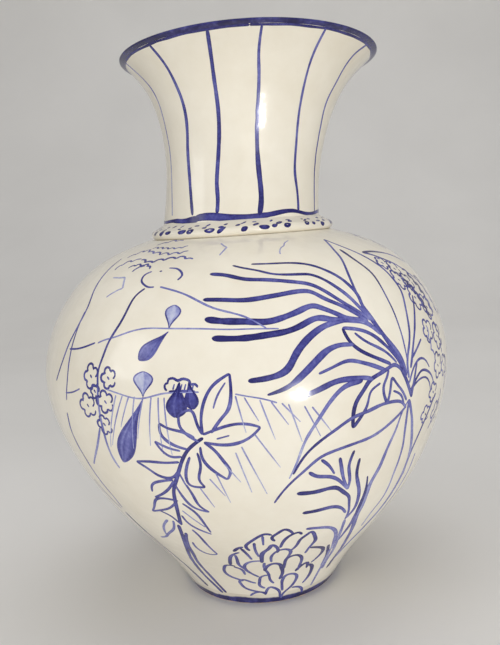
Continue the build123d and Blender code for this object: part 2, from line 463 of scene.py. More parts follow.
class Shader:
    """A material's node tree, built one node at a time."""

    def __init__(self, name):
        self.material = bpy.data.materials.new(name)
        self.material.use_nodes = True
        self.tree = self.material.node_tree
        self.surface = self.tree.nodes["Principled BSDF"]
        self.coordinates = self.node("TexCoord").outputs["Object"]

    def node(self, kind, inputs=None, **settings):
        made = self.tree.nodes.new("ShaderNode" + kind)
        for key, value in settings.items():
            setattr(made, key, value)
        for key, value in (inputs or {}).items():
            self.feed(made.inputs[key], value)
        return made

    def feed(self, socket, value):
        if isinstance(value, bpy.types.NodeSocket):
            self.tree.links.new(value, socket)
        else:
            socket.default_value = value

    def noise(self, scale, detail=2.0, roughness=0.5, output="Fac"):
        inputs = {"Vector": self.coordinates, "Scale": scale, "Detail": detail, "Roughness": roughness}
        return self.node("TexNoise", inputs).outputs[output]

    def ramp(self, value, *stops):
        """Colours at places from 0 to 1 along a value."""
        made = self.node("ValToRGB", {"Fac": value})
        elements = made.color_ramp.elements
        while len(elements) < len(stops):
            elements.new(0.5)
        for element, (place, shade) in zip(elements, stops):
            element.position = place
            element.color = shade if isinstance(shade, tuple) else (shade, shade, shade, 1.0)
        return made.outputs["Color"]

    def sum(self, first, second, factor=1.0):
        inputs = {0: second, 1: factor, 2: first}
        return self.node("Math", inputs, operation="MULTIPLY_ADD").outputs[0]

    def centred(self, value):
        """A noise moved to swing about zero."""
        return self.node("Math", {0: value, 1: 0.5}, operation="SUBTRACT").outputs[0]

    def fade(self, value, start, end):
        """One up to the start, falling to zero at the end."""
        inputs = {"Value": value, "From Min": start, "From Max": end, "To Min": 1.0, "To Max": 0.0}
        return self.node("MapRange", inputs).outputs[0]

    def mix(self, factor, first, second, blend="MIX"):
        inputs = {"Fac": factor, "Color1": first, "Color2": second}
        return self.node("MixRGB", inputs, blend_type=blend).outputs["Color"]

    def bump(self, height, distance, strength=1.0, normal=None):
        inputs = {"Height": height, "Distance": distance, "Strength": strength}
        if normal is not None:
            inputs["Normal"] = normal
        return self.node("Bump", inputs).outputs["Normal"]

    def set(self, **values):
        for key, value in values.items():
            self.feed(self.surface.inputs[key.replace("_", " ")], value)
        return self.material


def glazed_white(name, light, shade, roughness=0.1):
    """Tin glaze over buff clay: warm white, mottled where it pooled, with sparse specks and pinholes."""
    shader = Shader(name)
    pooled = shader.noise(11, 3, 0.55)
    base = shader.ramp(pooled, (0.32, shade), (0.62, light))
    clouds = shader.noise(70, 3, 0.6)
    base = shader.mix(0.35, base, shader.ramp(clouds, (0.3, shade), (0.7, light)))
    cells = shader.node("TexVoronoi", {"Vector": shader.coordinates, "Scale": 150.0})
    chosen = shader.ramp(cells.outputs["Color"], (0.9, 0.0), (0.93, 1.0))
    dot = shader.ramp(cells.outputs["Distance"], (0.03, 1.0), (0.07, 0.0))
    speck = shader.mix(1.0, chosen, dot, "MULTIPLY")
    base = shader.mix(shader.mix(1.0, speck, (0.55, 0.55, 0.55, 1), "MULTIPLY"), base, colour(120, 96, 66))
    ripple = shader.bump(shader.noise(95, 2), 0.00022)
    skin = shader.bump(shader.noise(900, 2), 0.000018, normal=ripple)
    gloss = shader.ramp(shader.noise(40, 2), (0.3, roughness), (0.75, roughness + 0.07))
    return shader.set(Base_Color=base, Roughness=gloss, IOR=1.52, Normal=skin)


def brushed_cobalt():
    """Cobalt brushed into the glaze: the pigment attribute runs from a thin wash to a dark pool."""
    shader = Shader("brushed_cobalt")
    held = shader.node("Attribute", attribute_name="pigment").outputs["Fac"]
    streaks = shader.noise(420, 4, 0.65)
    patches = shader.noise(75, 2)
    amount = shader.sum(held, shader.centred(streaks), 0.55)
    amount = shader.sum(amount, shader.centred(patches), 0.45)
    base = shader.ramp(
        amount,
        (0.0, colour(196, 200, 222)),
        (0.22, colour(160, 164, 208)),
        (0.48, colour(112, 115, 182)),
        (0.75, colour(70, 71, 146)),
        (1.0, colour(38, 36, 102)),
    )
    skin = shader.bump(shader.noise(900, 2), 0.000018)
    gloss = shader.ramp(amount, (0.1, 0.11), (1.0, 0.2))
    return shader.set(Base_Color=base, Roughness=gloss, IOR=1.52, Normal=skin)


def lip_cobalt():
    """Thick cobalt on the lip, worn thin where the glaze ran off its edge."""
    shader = Shader("lip_cobalt")
    amount = shader.noise(55, 4, 0.6)
    streaks = shader.noise(300, 3, 0.6)
    amount = shader.sum(amount, shader.centred(streaks), 0.5)
    base = shader.ramp(
        amount,
        (0.2, colour(104, 106, 160)),
        (0.36, colour(58, 58, 128)),
        (0.55, colour(32, 30, 92)),
        (0.8, colour(22, 20, 72)),
    )
    skin = shader.bump(shader.noise(260, 3), 0.00006)
    return shader.set(Base_Color=base, Roughness=0.16, IOR=1.52, Normal=skin)


def banded_foot():
    """The foot ring: white glaze above, a brushed cobalt band below, bare clay where it stands."""
    shader = Shader("banded_foot")
    height = shader.node("SeparateXYZ", {0: shader.coordinates}).outputs["Z"]
    wave = shader.centred(shader.noise(38, 2))
    edge = shader.sum(height, wave, 0.006)
    fine = shader.centred(shader.noise(260, 2))
    edge = shader.sum(edge, fine, 0.0012)
    in_band = shader.fade(edge, 0.0052, 0.0064)
    white = shader.ramp(shader.noise(30, 3), (0.3, colour(222, 214, 194)), (0.7, colour(240, 233, 216)))
    blue = shader.ramp(
        shader.noise(120, 4, 0.65),
        (0.3, colour(74, 76, 148)),
        (0.5, colour(36, 34, 100)),
        (0.75, colour(24, 22, 76)),
    )
    base = shader.mix(in_band, white, blue)
    grain = shader.noise(700, 4, 0.7)
    clay = shader.ramp(grain, (0.3, colour(176, 138, 104)), (0.7, colour(212, 178, 142)))
    bare = shader.fade(shader.sum(height, fine, 0.0016), 0.0003, 0.0007)
    base = shader.mix(bare, base, clay)
    gloss = shader.mix(bare, (0.13, 0.13, 0.13, 1), (0.85, 0.85, 0.85, 1))
    skin = shader.bump(grain, 0.00012, strength=bare)
    return shader.set(Base_Color=base, Roughness=gloss, IOR=1.52, Normal=skin)


def studio_floor():
    shader = Shader("studio_floor")
    base = shader.ramp(shader.noise(3, 3), (0.3, colour(226, 224, 220)), (0.7, colour(231, 229, 225)))
    return shader.set(Base_Color=base, Roughness=0.75, Specular_IOR_Level=0.2)


WHITE_GLAZE = glazed_white("tin_glaze", colour(247, 241, 226), colour(236, 228, 209))
INSIDE_GLAZE = glazed_white("inside_glaze", colour(238, 232, 218), colour(222, 214, 196), 0.16)
COBALT = brushed_cobalt()
LIP_COBALT = lip_cobalt()
FOOT_BAND = banded_foot()


# ------------------------------------------------------------------------------------------ skins

def stands_for(piece, node):
    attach(piece, "root")
    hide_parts(node)


def make_foot():
    start, top = height_along(BODY, FOOT_ROUND), height_along(BODY, FOOT_TOP)
    outer = run(BODY, start, top, 0.8)
    round_out = arc((outer[0, 0] - FOOT_ROUND, FOOT_ROUND), (FOOT_ROUND, FOOT_ROUND), -90, 0)
    round_in = arc((FOOT_INNER + FOOT_ROUND, FOOT_ROUND), (FOOT_ROUND, FOOT_ROUND), 180, 270)
    floor_edge = (FOOT_INNER, FLOOR_UNDERSIDE)
    strips = [
        straight(round_in[-1], round_out[0], 1.5),
        round_out,
        outer,
        *straights(outer[-1], REBATE_TOP, REBATE_BOTTOM, floor_edge),
        straight(floor_edge, round_in[0], 1.5),
        round_in,
    ]
    stands_for(lathe("foot_ring_glazed", strips, body_place, FOOT_BAND), "foot_ring")


def make_lower_body():
    start, end = height_along(BODY, FOOT_TOP), height_along(BODY, SEAM_HEIGHT)
    outer = run(BODY, start, end)
    inner = run(INSIDE, height_along(INSIDE, SEAM_HEIGHT - SEAM_LAP), 0, 4)
    strips = [
        *straights((0, FLOOR_UNDERSIDE), REBATE_BOTTOM, REBATE_TOP, outer[0]),
        outer,
        *straights(outer[-1], SEAM_TOP, SEAM_FOOT, inner[0]),
        inner,
        straight(inner[-1], (0, FLOOR_TOP)),
    ]
    piece = lathe("lower_body_glazed", strips, body_place, WHITE_GLAZE)
    stands_for(piece, "lower_body")


def make_shoulder():
    outer = run(BODY, height_along(BODY, SEAM_HEIGHT), BODY.length)
    inner = run(INSIDE, INSIDE.length, height_along(INSIDE, SEAM_HEIGHT - SEAM_LAP), 4)
    strips = [
        outer,
        *straights(outer[-1], (LAND_EDGE, LAND), (THROAT, LAND), (THROAT, LAND_UNDERSIDE), inner[0]),
        inner,
        *straights(inner[-1], SEAM_FOOT, SEAM_TOP, outer[0]),
    ]
    piece = lathe("shoulder_glazed", strips, throat_place, WHITE_GLAZE)
    stands_for(piece, "shoulder")


def make_collar():
    section = run(COLLAR_SECTION, 0, COLLAR_SECTION.length, 0.6)
    strips = [
        section,
        *straights(section[-1], (NECK_BASE, NECK_SEAT), (THROAT, NECK_SEAT), (THROAT, LAND), section[0]),
    ]
    piece = lathe("collar_ring_glazed", strips, collar_place, WHITE_GLAZE)
    stands_for(piece, "collar_ring")


def make_neck():
    outer = run(NECK, 0, NECK.length, 2)
    inner = run(NECK_BORE, NECK_BORE.length, 0, 2)
    strips = [
        outer,
        straight(outer[-1], inner[0]),
        inner,
        *straights(inner[-1], (THROAT, NECK_SEAT), (NECK_BASE, NECK_SEAT), outer[0]),
    ]
    stands_for(lathe("neck_glazed", strips, neck_place, WHITE_GLAZE), "neck")


def make_lip():
    section = Curve([(radius, MOUTH + up) for radius, up in LIP_SECTION])
    rolled = run(section, 0, section.length, 0.7)
    strips = [rolled, straight(rolled[-1], rolled[0], 2)]
    stands_for(lathe("lip_roll_glazed", strips, neck_place, LIP_COBALT), "lip_roll")


def make_coil(node, coil, place):
    """A coil of clay smeared over a seam on the inside, as a half ellipse on the wall."""
    radius, height, half_width, half_height = coil
    bulge = arc((radius, height), (half_width, half_height), 90, 270, 16)
    strips = [bulge, straight(bulge[-1], bulge[0], 3)]
    stands_for(lathe(node + "_glazed", strips, place, INSIDE_GLAZE), node)


make_foot()
make_lower_body()
make_shoulder()
make_collar()
make_neck()
make_lip()
make_coil("belly_seam_coil", BELLY_COIL, body_place)
make_coil("neck_seam_coil", NECK_COIL, lambda az, radius, height: turned(az, radius, height, COLLAR_X))


# --------------------------------------------------------------------------------------- painting
# A row is a path, its widths from start to end and its tones, which are EVEN where it gives none.

PALM_FRONDS = [
    ("3,295 10,294 16,293 20,291 23,288 26,283 29,276 31,268 32,260 32,255 33,248 35,236 37,228 40,215 "
     "41,205", (1.5, 2.2, 3, 3.5), TIP),
    ("-3,295 0,292 5,288 8,285 12,283 17,282 20,281 23,277 26,270 29,261 31,253 34,243", (1.5, 2.2, 3), TIP),
    ("-10,288 -5,286 0,282 6,280 11,278 15,276 19,273 22,268 26,259 30,251 33,244", (3.2, 3.2, 2.6, 2), TIP),
    ("-11,268 -5,267 0,266 6,267 10,268 15,269 18,268 21,263 25,257 29,250 32,243", (3, 3.2, 3, 2.6), TIP),
    ("-10,255 -5,253 0,252 6,251 10,253 14,256 18,258 20,256 23,252 26,248 30,245 33,240",
     (4, 4.2, 3.4, 2.5), TIP),
    ("-8,243 0,242 6,243 10,244 14,247 18,250 22,248 27,246 31,243 35,234", (3.7, 4, 3.7, 3), TIP),
    ("0,217 5,218 9,222 11,229 14,237 17,242 20,245 23,246 27,246 31,243", (2.7, 4.4, 5, 3, 1.8), TIP),
    ("4,208 9,212 12,217 16,225 19,230 23,232 26,231", (1.5, 4, 4.4, 2), TIP),
    ("16,217 20,220 24,222 27,220 30,217 34,212", (1.5, 2.4, 2.7)),
    ("12,205 16,208 20,211 25,211 28,210 30,208", (3.3, 3.6, 2.6), TIP),
    ("27,209 22,207 18,199 15,189 12,177 10,163 8,151", (3.5, 2.6, 1.8, 1), (0.7, 0.5, 0.35, 0.2)),
]

PALM_LEAVES = [
    ("40,320 38,312 36,302 35,293 33,280 32,268 32,255 33,245 35,235 37,225 39,217 41,205", (1.6, 2, 2.4)),
    ("40,320 41,312 44,300 47,289 49,280 50,269 50,259 48,248 46,235 44,224 42,214 42,203", (1.6, 2, 2.2)),
    ("39,303 40,290 42,277 42,263 42,248 42,233 42,203", (2.4, 1.6, 1.3, 1.3), TIP),
    ("48,296 53,296 58,294 63,291 69,285 75,278", (2.4, 1.8, 1.4), TIP),
    ("48,296 51,293 55,287 59,281 63,272 67,263 70,255", (2.4, 1.6, 1.3)),
    ("55,254 52,245 49,235 45,220 43,209", (1.6, 2, 2.2)),
    ("50,225 47,220 44,215", (1.4, 1.8)),
    ("42,193 45,201 48,205 50,204 53,199 55,191", (2, 1.8, 1.4)),
    ("42,193 44,197 47,200 50,199 52,194 53,187", (1.8, 1.5, 1.3)),
    ("42,200 44,208 48,213 50,211 52,205", (1.8, 1.7, 1.2)),
    ("39,212 41,202 43,190", (2.6, 3, 2.6)),
    ("46,212 44,200 43,190", (1.8, 2.2, 2)),
]

BIG_LEAF = [
    ("9,154 12,167 16,176 20,182 24,187 28,189 32,191 36,191 39,189 41,184",
     (1.4, 2.2, 2.4, 2), (0.9, 0.7, 0.6)),
    ("4,132 6,140 9,149 12,156 16,164 20,167 25,169 30,171 35,176 38,180 41,185",
     (1.3, 2, 2.2, 2), (0.8, 0.6, 0.6)),
]

BENT_LEAVES = [
    ("24,242 25,234 27,228 30,223 33,219 36,215", (2.2, 2.6, 2.2), (0.95, 0.8, 0.6)),
    ("24,242 29,239 32,235 35,228 38,219 40,210", (2.2, 2.4, 2)),
    ("27,238 29,233 32,228 35,223 38,215", (1.5, 2, 1.4)),
    ("24,180 24,189 25,197 27,203 29,208 31,210 35,213 37,214 39,211 41,204",
     (2.8, 3, 2.6, 2.2), (1, 0.9, 0.7, 0.55)),
    ("24,180 26,186 28,194 29,201 31,204 32,205", (2.6, 2, 1.5), (1, 0.8, 0.6)),
    ("34,191 33,197 33,203 34,207 35,212", (2.4, 2.2, 1.6)),
    ("34,191 35,199 36,206 37,203 39,197 41,189", (2.4, 2, 1.8)),
    ("36,198 39,193 40,186", (1.6, 1.8)),
]

LONG_STEMS = [
    ("42,189 40,183 38,170 36,157 35,146 33,131 33,117 33,101 35,84 37,69 39,56 40,43 40,27",
     (1, 3, 4, 3.4, 3), (0.5, 0.45, 0.45, 0.6, 0.85)),
    ("42,189 42,170 43,153 43,130 43,110 41,96 41,81", (2.2, 2.2, 1.8), (0.6, 0.45, 0.25)),
    ("42,189 44,177 46,163 48,149 49,134 49,119 48,101 46,84 44,67 42,51 41,39", (2.5, 3.4, 4, 3), PALE),
    ("53,141 54,125 53,105 51,81", (2.2, 2.4, 2), FAINT),
]

SPRIG = [
    ("10,138 16,137 21,137 24,131 26,126 27,119 28,110 28,101", (3.2, 3.4, 2.4, 1.6), (1, 0.8, 0.5)),
    ("12,119 17,119 22,119 25,115 27,109", (3, 3.2, 1.8), (1, 0.8, 0.55)),
    ("13,154 15,150 18,148 20,146 23,139 25,133", (2.6, 2.6, 1.6), (0.9, 0.7, 0.5)),
    ("16,162 18,157 20,149", (2.4, 1.6), (0.9, 0.6)),
    ("21,161 22,151 23,143 25,134", (2.4, 2.6, 1.6), (0.95, 0.7, 0.5)),
    ("25,164 24,153 25,141 25,133", (2.2, 2.4, 1.6), (0.9, 0.7, 0.5)),
    ("27,157 27,144 29,131 30,121 30,111 28,102", (2.5, 2.8, 2.2), (0.95, 0.7, 0.5)),
    ("31,140 32,126 32,110 32,90 31,72", (1.2, 3.2, 3.2, 2), (1, 0.8, 0.5)),
    ("28,101 29,87 31,70 33,56 34,41 35,30", (2.4, 2.6, 2.6), PALE),
    ("30,61 32,46 33,31 33,10", (2.2, 2.4, 2), PALE),
    ("27,70 29,60 31,49 32,36", (2.8, 2.6, 1.8), (1, 0.7, 0.45)),
    ("14,101 19,99 23,96 27,86 29,73 31,60", (2.6, 3.2, 2.4), (0.6, 0.45, 0.35)),
]

CHRYSANTHEMUM = [
    ("0,20 -3,24 -3,31 -2,37 0,39 3,39", (2, 2.4, 2)),
    ("0,11 1,17 3,21 6,19 9,14 10,6", (2, 2.4, 2)),
    ("-10,10 -7,14 -3,15 0,12", (1.8, 2.2, 1.6)),
    ("-13,55 -17,56 -19,51 -20,43 -18,37 -15,34 -12,31", (2, 2.6, 2.4), (0.9, 0.75, 0.7)),
    ("-5,28 -8,30 -12,33 -14,31 -14,27 -12,21 -7,17 0,14", (2, 2.4, 2)),
    ("-15,57 -14,66 -12,74 -9,78", (2.4, 2.6, 2), (0.9, 0.8, 0.7)),
    ("-11,74 -11,66 -11,57 -9,50", (2.2, 2.4, 1.8)),
    ("-11,79 -9,84 -7,86", (2.6, 3, 2.4), (1, 0.95, 0.9)),
    ("-8,84 -6,73 -5,66", (2.8, 2.4, 1.6), (1, 0.8, 0.6)),
    ("-1,63 -5,63 -8,59 -9,51 -7,44 -3,37", (2, 2.6, 2)),
    ("-14,54 -11,50 -10,41", (2, 2.2, 1.6)),
    ("-5,80 -6,87 -4,93 -1,99 1,101 3,99", (2.2, 2.8, 2.2), (0.9, 0.8, 0.8)),
    ("-3,91 -3,81 -2,70", (2.2, 2, 1.6)),
    ("0,99 0,87", (2, 1.4)),
    ("-1,60 -1,67 0,77 2,82 3,86 5,81 5,74", (2.8, 3.4, 3, 2.4), (0.9, 0.95, 0.8)),
    ("5,77 3,70 3,60", (2, 2.2, 1.6)),
    ("5,77 8,78 10,75 10,67 9,60", (2.2, 2.6, 2)),
    ("0,46 1,53 4,57 6,56 8,49 9,40 8,31", (2.8, 3.4, 3, 2.2), (0.9, 0.9, 0.75)),
    ("0,60 0,50 2,40 3,31 5,26", (2, 2.2, 1.8)),
    ("9,46 9,56 10,64 13,66 16,61 17,51 17,40", (2.2, 2.8, 2.6, 2), (0.8, 0.85, 0.7)),
    ("11,14 10,23 10,31 12,36 15,36 18,31 18,24 16,17 12,10 11,4", (2, 2.6, 2.6, 2)),
    ("16,39 18,46 20,49 22,40", (2.8, 3.2, 2.2), (0.95, 0.9, 0.7)),
    ("21,46 24,43 26,36 26,24 24,18", (2.8, 3.2, 3, 2), (0.95, 0.9, 0.7)),
    ("17,16 21,15 25,11 27,4", (2, 2.4, 1.8)),
    ("18,74 22,71 25,67 26,60 25,53 23,47", (2.8, 3.4, 3, 2), (1, 0.95, 0.8)),
    ("6,81 7,90 9,96 12,98 13,95", (2, 2.6, 2), (0.8, 0.85, 0.8)),
    ("10,74 12,81 13,89 15,94 16,96 18,90 19,83 18,76 17,66", (2, 2.6, 2.8, 2), (0.8, 0.85, 0.7)),
    ("4,91 3,96 5,101 7,104 9,101 10,97", (2, 2.8, 2), (0.85, 0.9, 0.8)),
]

BRANCH_STEMS = [
    ("-26,110 -28,91 -31,74 -34,59 -36,44 -36,31 -33,19 -30,10", (3, 3.2, 3), (0.8, 0.75, 0.8)),
    ("-25,101 -28,84 -30,67 -32,53 -32,39 -30,23 -27,11", (2.6, 3, 2.6), (0.75, 0.7, 0.75)),
    ("-11,184 -15,176 -18,164 -20,154 -22,144 -23,133 -24,121 -25,110", (2.2, 2.5, 2.8), (0.95, 0.8, 0.8)),
]

LEAF, LEAFLET = (1.6, 2, 1.8), (1.6, 2, 1.5)  # widths
BRANCH_LEAVES = [
    # the whorl at the tip
    ("-11,186 -8,189 -3,192 0,191 2,189", LEAFLET),
    ("-11,181 -7,179 -3,180 0,184 2,189", (1.6, 2.2, 1.5)),
    ("-8,183 -5,185", (1.2, 1)),
    ("-11,186 -11,194 -10,206 -8,215 -4,222", (1.8, 2.2, 1.6)),
    ("-4,222 -4,208 -5,200 -6,197 -9,187", (1.6, 2.2, 1.8), (0.85, 0.7, 0.7)),
    ("-5,217 -7,209 -8,202", (1, 1.3, 1)),
    ("-12,178 -12,170 -10,161 -7,154", (1.8, 2.2, 1.6)),
    ("-11,181 -9,176 -7,167 -6,160 -7,154", (1.8, 2.2, 1.6)),
    ("-16,199 -16,191 -15,187 -12,181", LEAF),
    ("-16,199 -13,201 -12,193 -11,186", LEAF),
    ("-21,193 -19,190 -16,188 -13,184", LEAF),
    ("-21,193 -21,186 -19,180 -15,176", (1.6, 2.2, 1.8)),
    ("-23,181 -22,176 -20,171 -17,171", (1.5, 2, 1.6)),
    ("-23,181 -20,177 -17,175", (1.5, 1.8, 1.4)),
    # pairs down the left side
    ("-30,165 -26,166 -22,166 -18,167", LEAF),
    ("-30,165 -27,160 -25,156 -21,155 -19,160", (1.6, 2.2, 1.8)),
    ("-29,141 -28,147 -25,151 -21,153", LEAF),
    ("-29,136 -26,140 -23,146 -21,152", LEAF),
    ("-33,121 -31,127 -29,134 -25,136 -22,135", LEAF),
    ("-33,121 -29,124 -26,127 -23,133", LEAF),
    ("-30,123 -27,119 -25,111", (1.6, 1.8, 1.6)),
    ("-29,114 -32,107 -34,99 -35,91", (1.8, 2, 1.4), PALE),
    ("-40,86 -36,90 -33,96 -29,104 -27,114", LEAF, PALE),
    # leaflets down the right side
    ("-19,161 -18,149", (1.4, 1.4)),
    ("-15,171 -17,159 -17,150 -13,148", LEAFLET),
    ("-13,174 -13,163 -14,153 -13,148", LEAFLET),
    ("-21,149 -20,139 -18,130 -14,126", LEAFLET),
    ("-18,150 -17,141 -16,131 -14,126", LEAFLET),
    ("-21,133 -18,124 -17,116 -16,104", LEAFLET),
    ("-23,121 -22,113 -19,106 -16,102", LEAFLET),
    ("-22,126 -20,119 -17,110", (1, 1.2, 0.9), PALE),
    ("-22,106 -21,101 -20,91 -19,81 -18,74", LEAFLET),
    ("-25,89 -25,80 -22,73 -19,73 -18,74", LEAFLET),
]

HORIZON = [
    ("-52,234 -48,235 -41,240", (1.2, 1.2), (0.8, 0.8)),
    ("-40,240 -38,242 -35,244 -30,248 -26,250 -20,250 -10,249 -5,248 3,247 8,246", (1, 1, 0.9), PALE),
    ("-52,205 -48,207 -45,210", (1.2, 1)),
    ("-35,212 -31,210 -25,208 -20,211 -15,212 -11,212", (0.9, 1, 0.9), PALE),
    ("-3,210 0,208 3,206 6,203", (0.9, 0.9), PALE),
]

LEFT_BLOSSOM_STEMS = [
    ("-30,278 -32,273 -33,264 -34,253 -36,242 -37,233 -38,224 -38,213", (1.5, 1.8, 1.6), (0.95, 0.8, 0.6)),
    ("-38,213 -38,200 -38,181 -38,167 -37,157", (1.6, 2, 1.8), (0.5, 0.35)),
    ("-39,186 -41,177 -44,167 -49,154", (1.6, 1.8, 1.4), PALE),
]

FAR_LEFT_LINES = [
    ("-53,191 -54,174 -53,156 -52,139 -50,121 -50,113", (2, 2.2, 1.8)),
    ("-59,133 -55,119 -52,110", (1.6, 2)),
    ("-51,107 -50,91 -50,74 -50,56 -48,41 -45,27 -41,14", (3.4, 3.8, 3.4), (1, 0.9, 0.8)),
    ("-58,309 -56,294 -55,287 -53,275 -51,265 -51,253 -53,238 -55,224 -58,211", (1.6, 1.8, 1.6)),
    ("-51,260 -51,228 -51,215 -52,200", (1.4, 1.6, 1.4)),
]


NECK_STRIPES = [
    ("-78,397.6 -73,386 -68,375 -67,369 -67,351 -65,333 -64,319 -62,304 -59,289", (2, 1.6, 1.2), PALE),
    ("-47,397.6 -45,388 -43,375 -41,362 -41,345 -42,332 -41,317 -39,303 -36,288",
     (2.3, 2.6, 3, 2.6), (0.75, 0.7, 0.8)),
    ("-17,397.6 -18,375 -17,355 -17,337 -18,319 -18,306 -17,298 -17,288", (2.5, 2.8, 3), (0.75, 0.75, 0.85)),
    ("5,397.6 5,384 6,375 7,357 8,337 10,319 12,306 13,295 12,285",
     (1.7, 2.4, 3.2, 4.3), (0.65, 0.7, 0.85, 0.95)),
    ("33,397.6 33,388 34,371 36,348 38,328 39,313 42,299 43,286", (1.7, 2, 2.5), (0.6, 0.65, 0.8)),
    ("66,397.6 62,391 62,375 60,362 62,345 63,326 64,311 65,297 65,285", (2, 2.2, 2), (0.65, 0.65, 0.75)),
]

SIDES = {"front": (0, False), "right": (125, False), "back": (205, True)}


def painted(name, side, surface, seed, *actions):
    """One painted piece on one side of the vase, from rows of strokes or from functions of the brush."""
    brush = Brush(f"paint_{name}_{side}", surface, seed)
    brush.turn, brush.mirror = SIDES[side]
    for action in actions:
        if callable(action):
            action(brush)
        else:
            brush.strokes(action)
    return brush.finish(COBALT)


MM_PER_DEGREE = 2.4  # across the belly, for laying out small motifs

# Places on the vase are (azimuth, distance up the wall), sizes millimetres
LEFT_HEADS = [
    (-40.5, 219, 6.5), (-34.5, 219, 6), (-42, 200, 8), (-35.5, 204, 7), (-37, 189, 5.5), (-39, 210, 4),
]
CASCADE_HEADS = [
    (52, 283, 6), (56, 276, 7), (53, 267, 7), (58, 264, 7), (56, 252, 7), (61, 243, 8), (55, 228, 7),
    (61, 222, 8), (58, 203, 8), (64, 200, 8), (55, 186, 6), (52, 172, 6), (60, 168, 7),
]
CASCADE_STEM = [("57,184 54,174 51,160 49,140 50,125", (2.4, 2.6, 2), (0.9, 0.8, 0.5))]
# A scalloped line: its path, how many scallops, how far they swell, its width and its tones
CASCADE_LINES = [
    ("55,266 58,250 59,234", 6, 3.5, 2.8, (0.95, 0.9)),
    ("61,274 63,254 63,236", 6, 3.5, 2.6, TIP),
    ("67,266 69,248 69,232", 5, 3.5, 2.4, EVEN),
    ("55,232 54,220 56,208", 3, 2, 1.5, PALE),
    ("61,232 62,220 62,208", 4, 2, 1.8, EVEN),
    ("62,184 60,170 56,156", 3, 2, 1.8, EVEN),
    ("65,206 66,194 65,180", 3, 2, 1.6, EVEN),
]
CLOUD_LINES = [
    ("-51,295 -48,304 -41,307", 3, 2, 1.4, EVEN),
    ("-42,307 -36,303 -29,306 -23,307 -17,303", 6, 2.4, 1.7, EVEN),
    ("-54,310 -48,319 -38,315 -28,313 -21,316", 8, 2.6, 1.5, EVEN),
    ("-48,330 -40,336 -31,336", 3, 2, 1.6, EVEN),
    ("-46,324 -38,323 -30,322 -24,325", 6, 2.4, 1.4, EVEN),
    ("-44,297 -40,300 -36,297", 3, 2, 1.4, EVEN),
    ("-40,293 -36,300 -33,293", 3, 1.6, 1.4, EVEN),
    ("-44,271 -39,279 -42,288 -50,288", 3, 1.8, 1.1, FAINT),
    ("14,304 17,314 24,325", 2, 1.5, 0.9, FAINT),
    ("-8,308 -6,320 -10,331", 2, 1.5, 1, FAINT),
]
CLOUD_CURLS = [
    ("-31,293 -33,290 -33,285 -31,281 -29,279 -27,279", (1.4, 1.6, 1.3)),
    ("-25,296 -22,295 -20,292 -19,288 -20,284", (1.3, 1.6, 1.3)),
    ("-25,279 -16,272 -8,262 0,255 5,247", (1.2, 1.4, 1), PALE),
    ("-28,293 -27,293", (1.7, 1.7), TIP),
]
# A bud: its stalk end, its round end and its greatest width
DARK_BUDS = [((-24.5, 208), (-34.5, 163), 12), ((-19, 248), (-26, 231), 9)]
LIGHT_BUDS = [((-24.5, 209), (-24.5, 224), 12), ((-19, 250), (-18.6, 265), 10)]
POD_LOBES = [((-15.4, 218), (-16.8, 197), 11), ((-13.2, 218), (-12.6, 202), 7)]
POD_CAP = ("-18.4,213 -17,219 -14,218 -11.6,213", 4, 1.6, 1.4, (0.85, 0.75))
# A fan of fine lines: azimuth from, to, distance up at its ends, how far the last one slants, drop, count
FANS = [
    (-32, -19, 209, 209, -7, 34, 8),
    (-3, 14, 209, 198, 5, 24, 8),
    (-14, 0, 148, 184, 5, 32, 7),
]


def teardrop(stalk, end, width):
    """Both edges of a drop that starts as a point at its stalk and is round at its end."""
    stalk, end = np.array(stalk, float), np.array(end, float)
    share = (1 - np.cos(np.linspace(0, math.pi, 13))) / 2
    swell = np.sin(math.pi * share**2) ** 0.8 * width / 2
    run_az, run_up = (end[0] - stalk[0]) * MM_PER_DEGREE, end[1] - stalk[1]
    length = math.hypot(run_az, run_up)
    sideways = np.array([run_up / length / MM_PER_DEGREE, -run_az / length])
    middle = stalk + share[:, None] * (end - stalk)
    return middle + swell[:, None] * sideways, middle - swell[:, None] * sideways


def buds(brush):
    for row in DARK_BUDS + LIGHT_BUDS:
        edges = teardrop(*row)
        dark = row in DARK_BUDS
        brush.wash(*edges, (0.8, 0.55, 0.65) if dark else (0.25, 0.15, 0.25))
        for edge in edges:
            brush.stroke(edge, (0.8, 1.1, 0.8), (0.8, 0.7))
        if dark:
            continue
        for share in (0.3, 0.5, 0.7):
            vein = edges[0] + share * (edges[1] - edges[0])
            brush.stroke(vein[6:12], (0.8, 0.9), (0.6, 0.7))


def seed_pod(brush):
    for row in POD_LOBES:
        edges = teardrop(*row)
        brush.wash(*edges, (0.95, 0.75, 0.85))
        for edge in edges:
            brush.stroke(edge, (1.2, 1.4, 1.2), (1, 0.9))
    scallops(brush, *POD_CAP)
    brush.stroke("-18,212.5 -15,213 -11.8,212.5", (1.3, 1.3), TIP)
    for az in np.arange(-17, -12.4, 0.9):
        brush.stroke([(az, 213.5), (az + 0.4, 217)], (1.1, 0.8), (0.8, 0.6))


def blossom(brush, az, along, size, lobes=5):
    """A loose round head in one looping line with uneven lobes, and a dash at its heart."""
    turns = np.linspace(0, 2 * math.pi, lobes * 8 + 1)
    reach = size * (0.62 + 0.38 * np.abs(np.sin(turns * lobes / 2)) ** 0.7)
    uneven = brush.random.uniform(0.8, 1.15, lobes)
    reach = reach * np.interp(turns, np.linspace(0, 2 * math.pi, lobes), uneven)
    points = np.stack([az + reach * np.cos(turns) / MM_PER_DEGREE, along + 1.15 * reach * np.sin(turns)], -1)
    brush.stroke(points[: -brush.random.integers(1, 4)], (1.3, 1.7, 1.3), (0.85, 0.7, 0.8))
    brush.stroke([(az - 0.4, along + 1), (az + 0.3, along - 1)], (1.5, 1.2), TIP)


